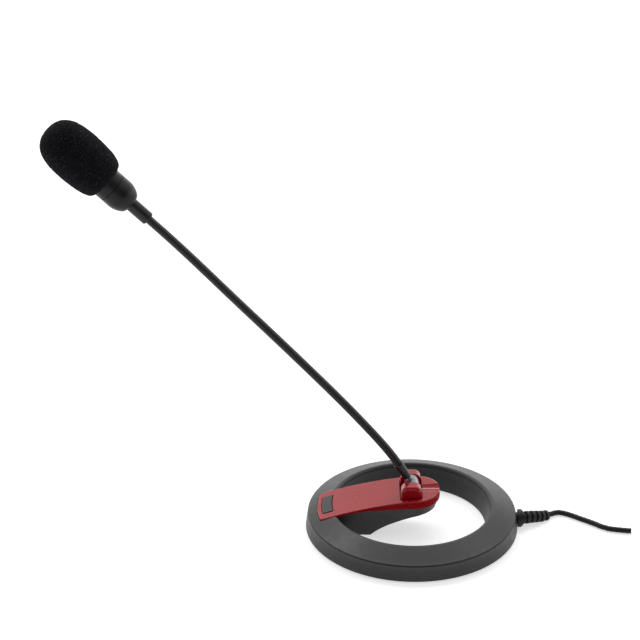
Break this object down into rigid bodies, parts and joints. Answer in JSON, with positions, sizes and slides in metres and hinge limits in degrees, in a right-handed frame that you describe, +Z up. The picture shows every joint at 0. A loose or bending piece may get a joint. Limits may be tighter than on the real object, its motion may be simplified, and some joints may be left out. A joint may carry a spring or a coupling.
{
  "type": "gooseneck microphone",
  "caption": "Desktop gooseneck microphone with a weighted ring base, hinged bendable neck, foam windscreen, push switch and trailing cable.",
  "frame": {"origin": "centre of the ring base, on the plane of its flat rubber foot ring", "axes": "+Z up, arm and neck in the XZ plane, head towards -X, cable leaving at +X"},
  "size_m": [0.3503, 0.13, 0.2676],
  "materials": {
    "grey_plastic": "satin moulded dark grey",
    "red_gloss": "glossy deep red",
    "ballast_steel": "plain zinc-plated",
    "foot_rubber": "matte",
    "screw_steel": "blackened",
    "hinge_metal": "polished",
    "washer_plastic": "white nylon",
    "sleeve_plastic": "satin black",
    "neck_black": "satin black",
    "head_plastic": "satin black",
    "capsule_metal": "bright",
    "boot_rubber": "matte",
    "foam": "open-cell black foam",
    "cable_black": "satin black jacket",
    "clamp_plastic": "black nylon",
    "switch_plastic": "moulded black",
    "board_green": "green solder mask"
  },
  "bodies": {
    "base": {"base_tray": "grey_plastic", "base_top_cover": "grey_plastic", "ballast_weights": "ballast_steel", "rubber_foot": "foot_rubber", "base_screws": "screw_steel", "arm_casing": "grey_plastic", "arm_cover": "red_gloss", "arm_screws": "screw_steel", "switch_body": "switch_plastic", "switch_board": "board_green", "board_screws": "screw_steel", "hinge_yoke": "red_gloss", "hinge_pin": "hinge_metal", "friction_washers": "washer_plastic", "cable": "cable_black", "strain_relief": "boot_rubber", "cable_clamp": "clamp_plastic", "clamp_screws": "screw_steel", "base_lead": "cable_black", "arm_lead": "cable_black"},
    "button": {"push_button": "grey_plastic", "switch_plunger": "switch_plastic"},
    "neck_base": {"neck_knuckle": "hinge_metal", "lower_sleeve": "sleeve_plastic", "neck_link_01": "neck_black"},
    "neck_02": {"neck_link_02": "neck_black"},
    "neck_03": {"neck_link_03": "neck_black"},
    "neck_04": {"neck_link_04": "neck_black"},
    "neck_05": {"neck_link_05": "neck_black"},
    "neck_06": {"neck_link_06": "neck_black"},
    "neck_07": {"neck_link_07": "neck_black"},
    "neck_08": {"neck_link_08": "neck_black"},
    "neck_09": {"neck_link_09": "neck_black"},
    "neck_10": {"neck_link_10": "neck_black"},
    "neck_11": {"neck_link_11": "neck_black"},
    "neck_12": {"neck_link_12": "neck_black"},
    "head": {"neck_link_13": "neck_black", "upper_sleeve": "sleeve_plastic", "housing_rear": "head_plastic", "housing_collar": "head_plastic", "grille": "head_plastic", "capsule": "capsule_metal", "capsule_boot": "boot_rubber", "head_lead": "cable_black"},
    "windscreen": {"foam_windscreen": "foam"}
  },
  "joints": [
    {"name": "neck_tilt", "type": "hinge", "parent": "base", "child": "neck_base", "pos_m": [0, 0, 0.0297], "axis": [0, 1, 0], "range_deg": [-50, 115]},
    {"name": "button_press", "type": "slide", "parent": "base", "child": "button", "axis": [0.3128, 0, -0.9498], "range_m": [0, 0.0012], "stiffness_N_per_m": 1500, "springref_m": -0.0005},
    {"name": "windscreen_pull", "type": "slide", "parent": "head", "child": "windscreen", "axis": [-0.712, 0, 0.7021], "range_m": [0, 0.045]},
    {"name": "neck_bend_01", "type": "hinge", "parent": "neck_base", "child": "neck_02", "pos_m": [-0.01031, 0, 0.04643], "axis": [0, -1, 0], "range_deg": [-12, 12]},
    {"name": "neck_sway_02", "type": "hinge", "parent": "neck_02", "child": "neck_03", "pos_m": [-0.02193, 0, 0.06208], "axis": [0.7852, 0, 0.6193], "range_deg": [-12, 12]},
    {"name": "neck_bend_03", "type": "hinge", "parent": "neck_03", "child": "neck_04", "pos_m": [-0.03445, 0, 0.07703], "axis": [0, -1, 0], "range_deg": [-12, 12]},
    {"name": "neck_sway_04", "type": "hinge", "parent": "neck_04", "child": "neck_05", "pos_m": [-0.0473, 0, 0.09169], "axis": [0.7458, 0, 0.6662], "range_deg": [-12, 12]},
    {"name": "neck_bend_05", "type": "hinge", "parent": "neck_05", "child": "neck_06", "pos_m": [-0.06042, 0, 0.10611], "axis": [0, -1, 0], "range_deg": [-12, 12]},
    {"name": "neck_sway_06", "type": "hinge", "parent": "neck_06", "child": "neck_07", "pos_m": [-0.07364, 0, 0.12045], "axis": [0.7329, 0, 0.6803], "range_deg": [-12, 12]},
    {"name": "neck_bend_07", "type": "hinge", "parent": "neck_07", "child": "neck_08", "pos_m": [-0.08696, 0, 0.13469], "axis": [0, -1, 0], "range_deg": [-12, 12]},
    {"name": "neck_sway_08", "type": "hinge", "parent": "neck_08", "child": "neck_09", "pos_m": [-0.10032, 0, 0.1489], "axis": [0.7301, 0, 0.6833], "range_deg": [-12, 12]},
    {"name": "neck_bend_09", "type": "hinge", "parent": "neck_09", "child": "neck_10", "pos_m": [-0.1136, 0, 0.16317], "axis": [0, -1, 0], "range_deg": [-12, 12]},
    {"name": "neck_sway_10", "type": "hinge", "parent": "neck_10", "child": "neck_11", "pos_m": [-0.12685, 0, 0.17747], "axis": [0.7295, 0, 0.684], "range_deg": [-12, 12]},
    {"name": "neck_bend_11", "type": "hinge", "parent": "neck_11", "child": "neck_12", "pos_m": [-0.14028, 0, 0.19161], "axis": [0, -1, 0], "range_deg": [-12, 12]},
    {"name": "neck_sway_12", "type": "hinge", "parent": "neck_12", "child": "head", "pos_m": [-0.15402, 0, 0.20544], "axis": [0.7086, 0, 0.7056], "range_deg": [-12, 12]}
  ],
  "couplings": [
    {"joint": "neck_bend_03", "follows": "neck_bend_01", "ratio": 1},
    {"joint": "neck_sway_04", "follows": "neck_sway_02", "ratio": 1},
    {"joint": "neck_bend_05", "follows": "neck_bend_01", "ratio": 1},
    {"joint": "neck_sway_06", "follows": "neck_sway_02", "ratio": 1},
    {"joint": "neck_bend_07", "follows": "neck_bend_01", "ratio": 1},
    {"joint": "neck_sway_08", "follows": "neck_sway_02", "ratio": 1},
    {"joint": "neck_bend_09", "follows": "neck_bend_01", "ratio": 1},
    {"joint": "neck_sway_10", "follows": "neck_sway_02", "ratio": 1},
    {"joint": "neck_bend_11", "follows": "neck_bend_01", "ratio": 1},
    {"joint": "neck_sway_12", "follows": "neck_sway_02", "ratio": 1}
  ]
}
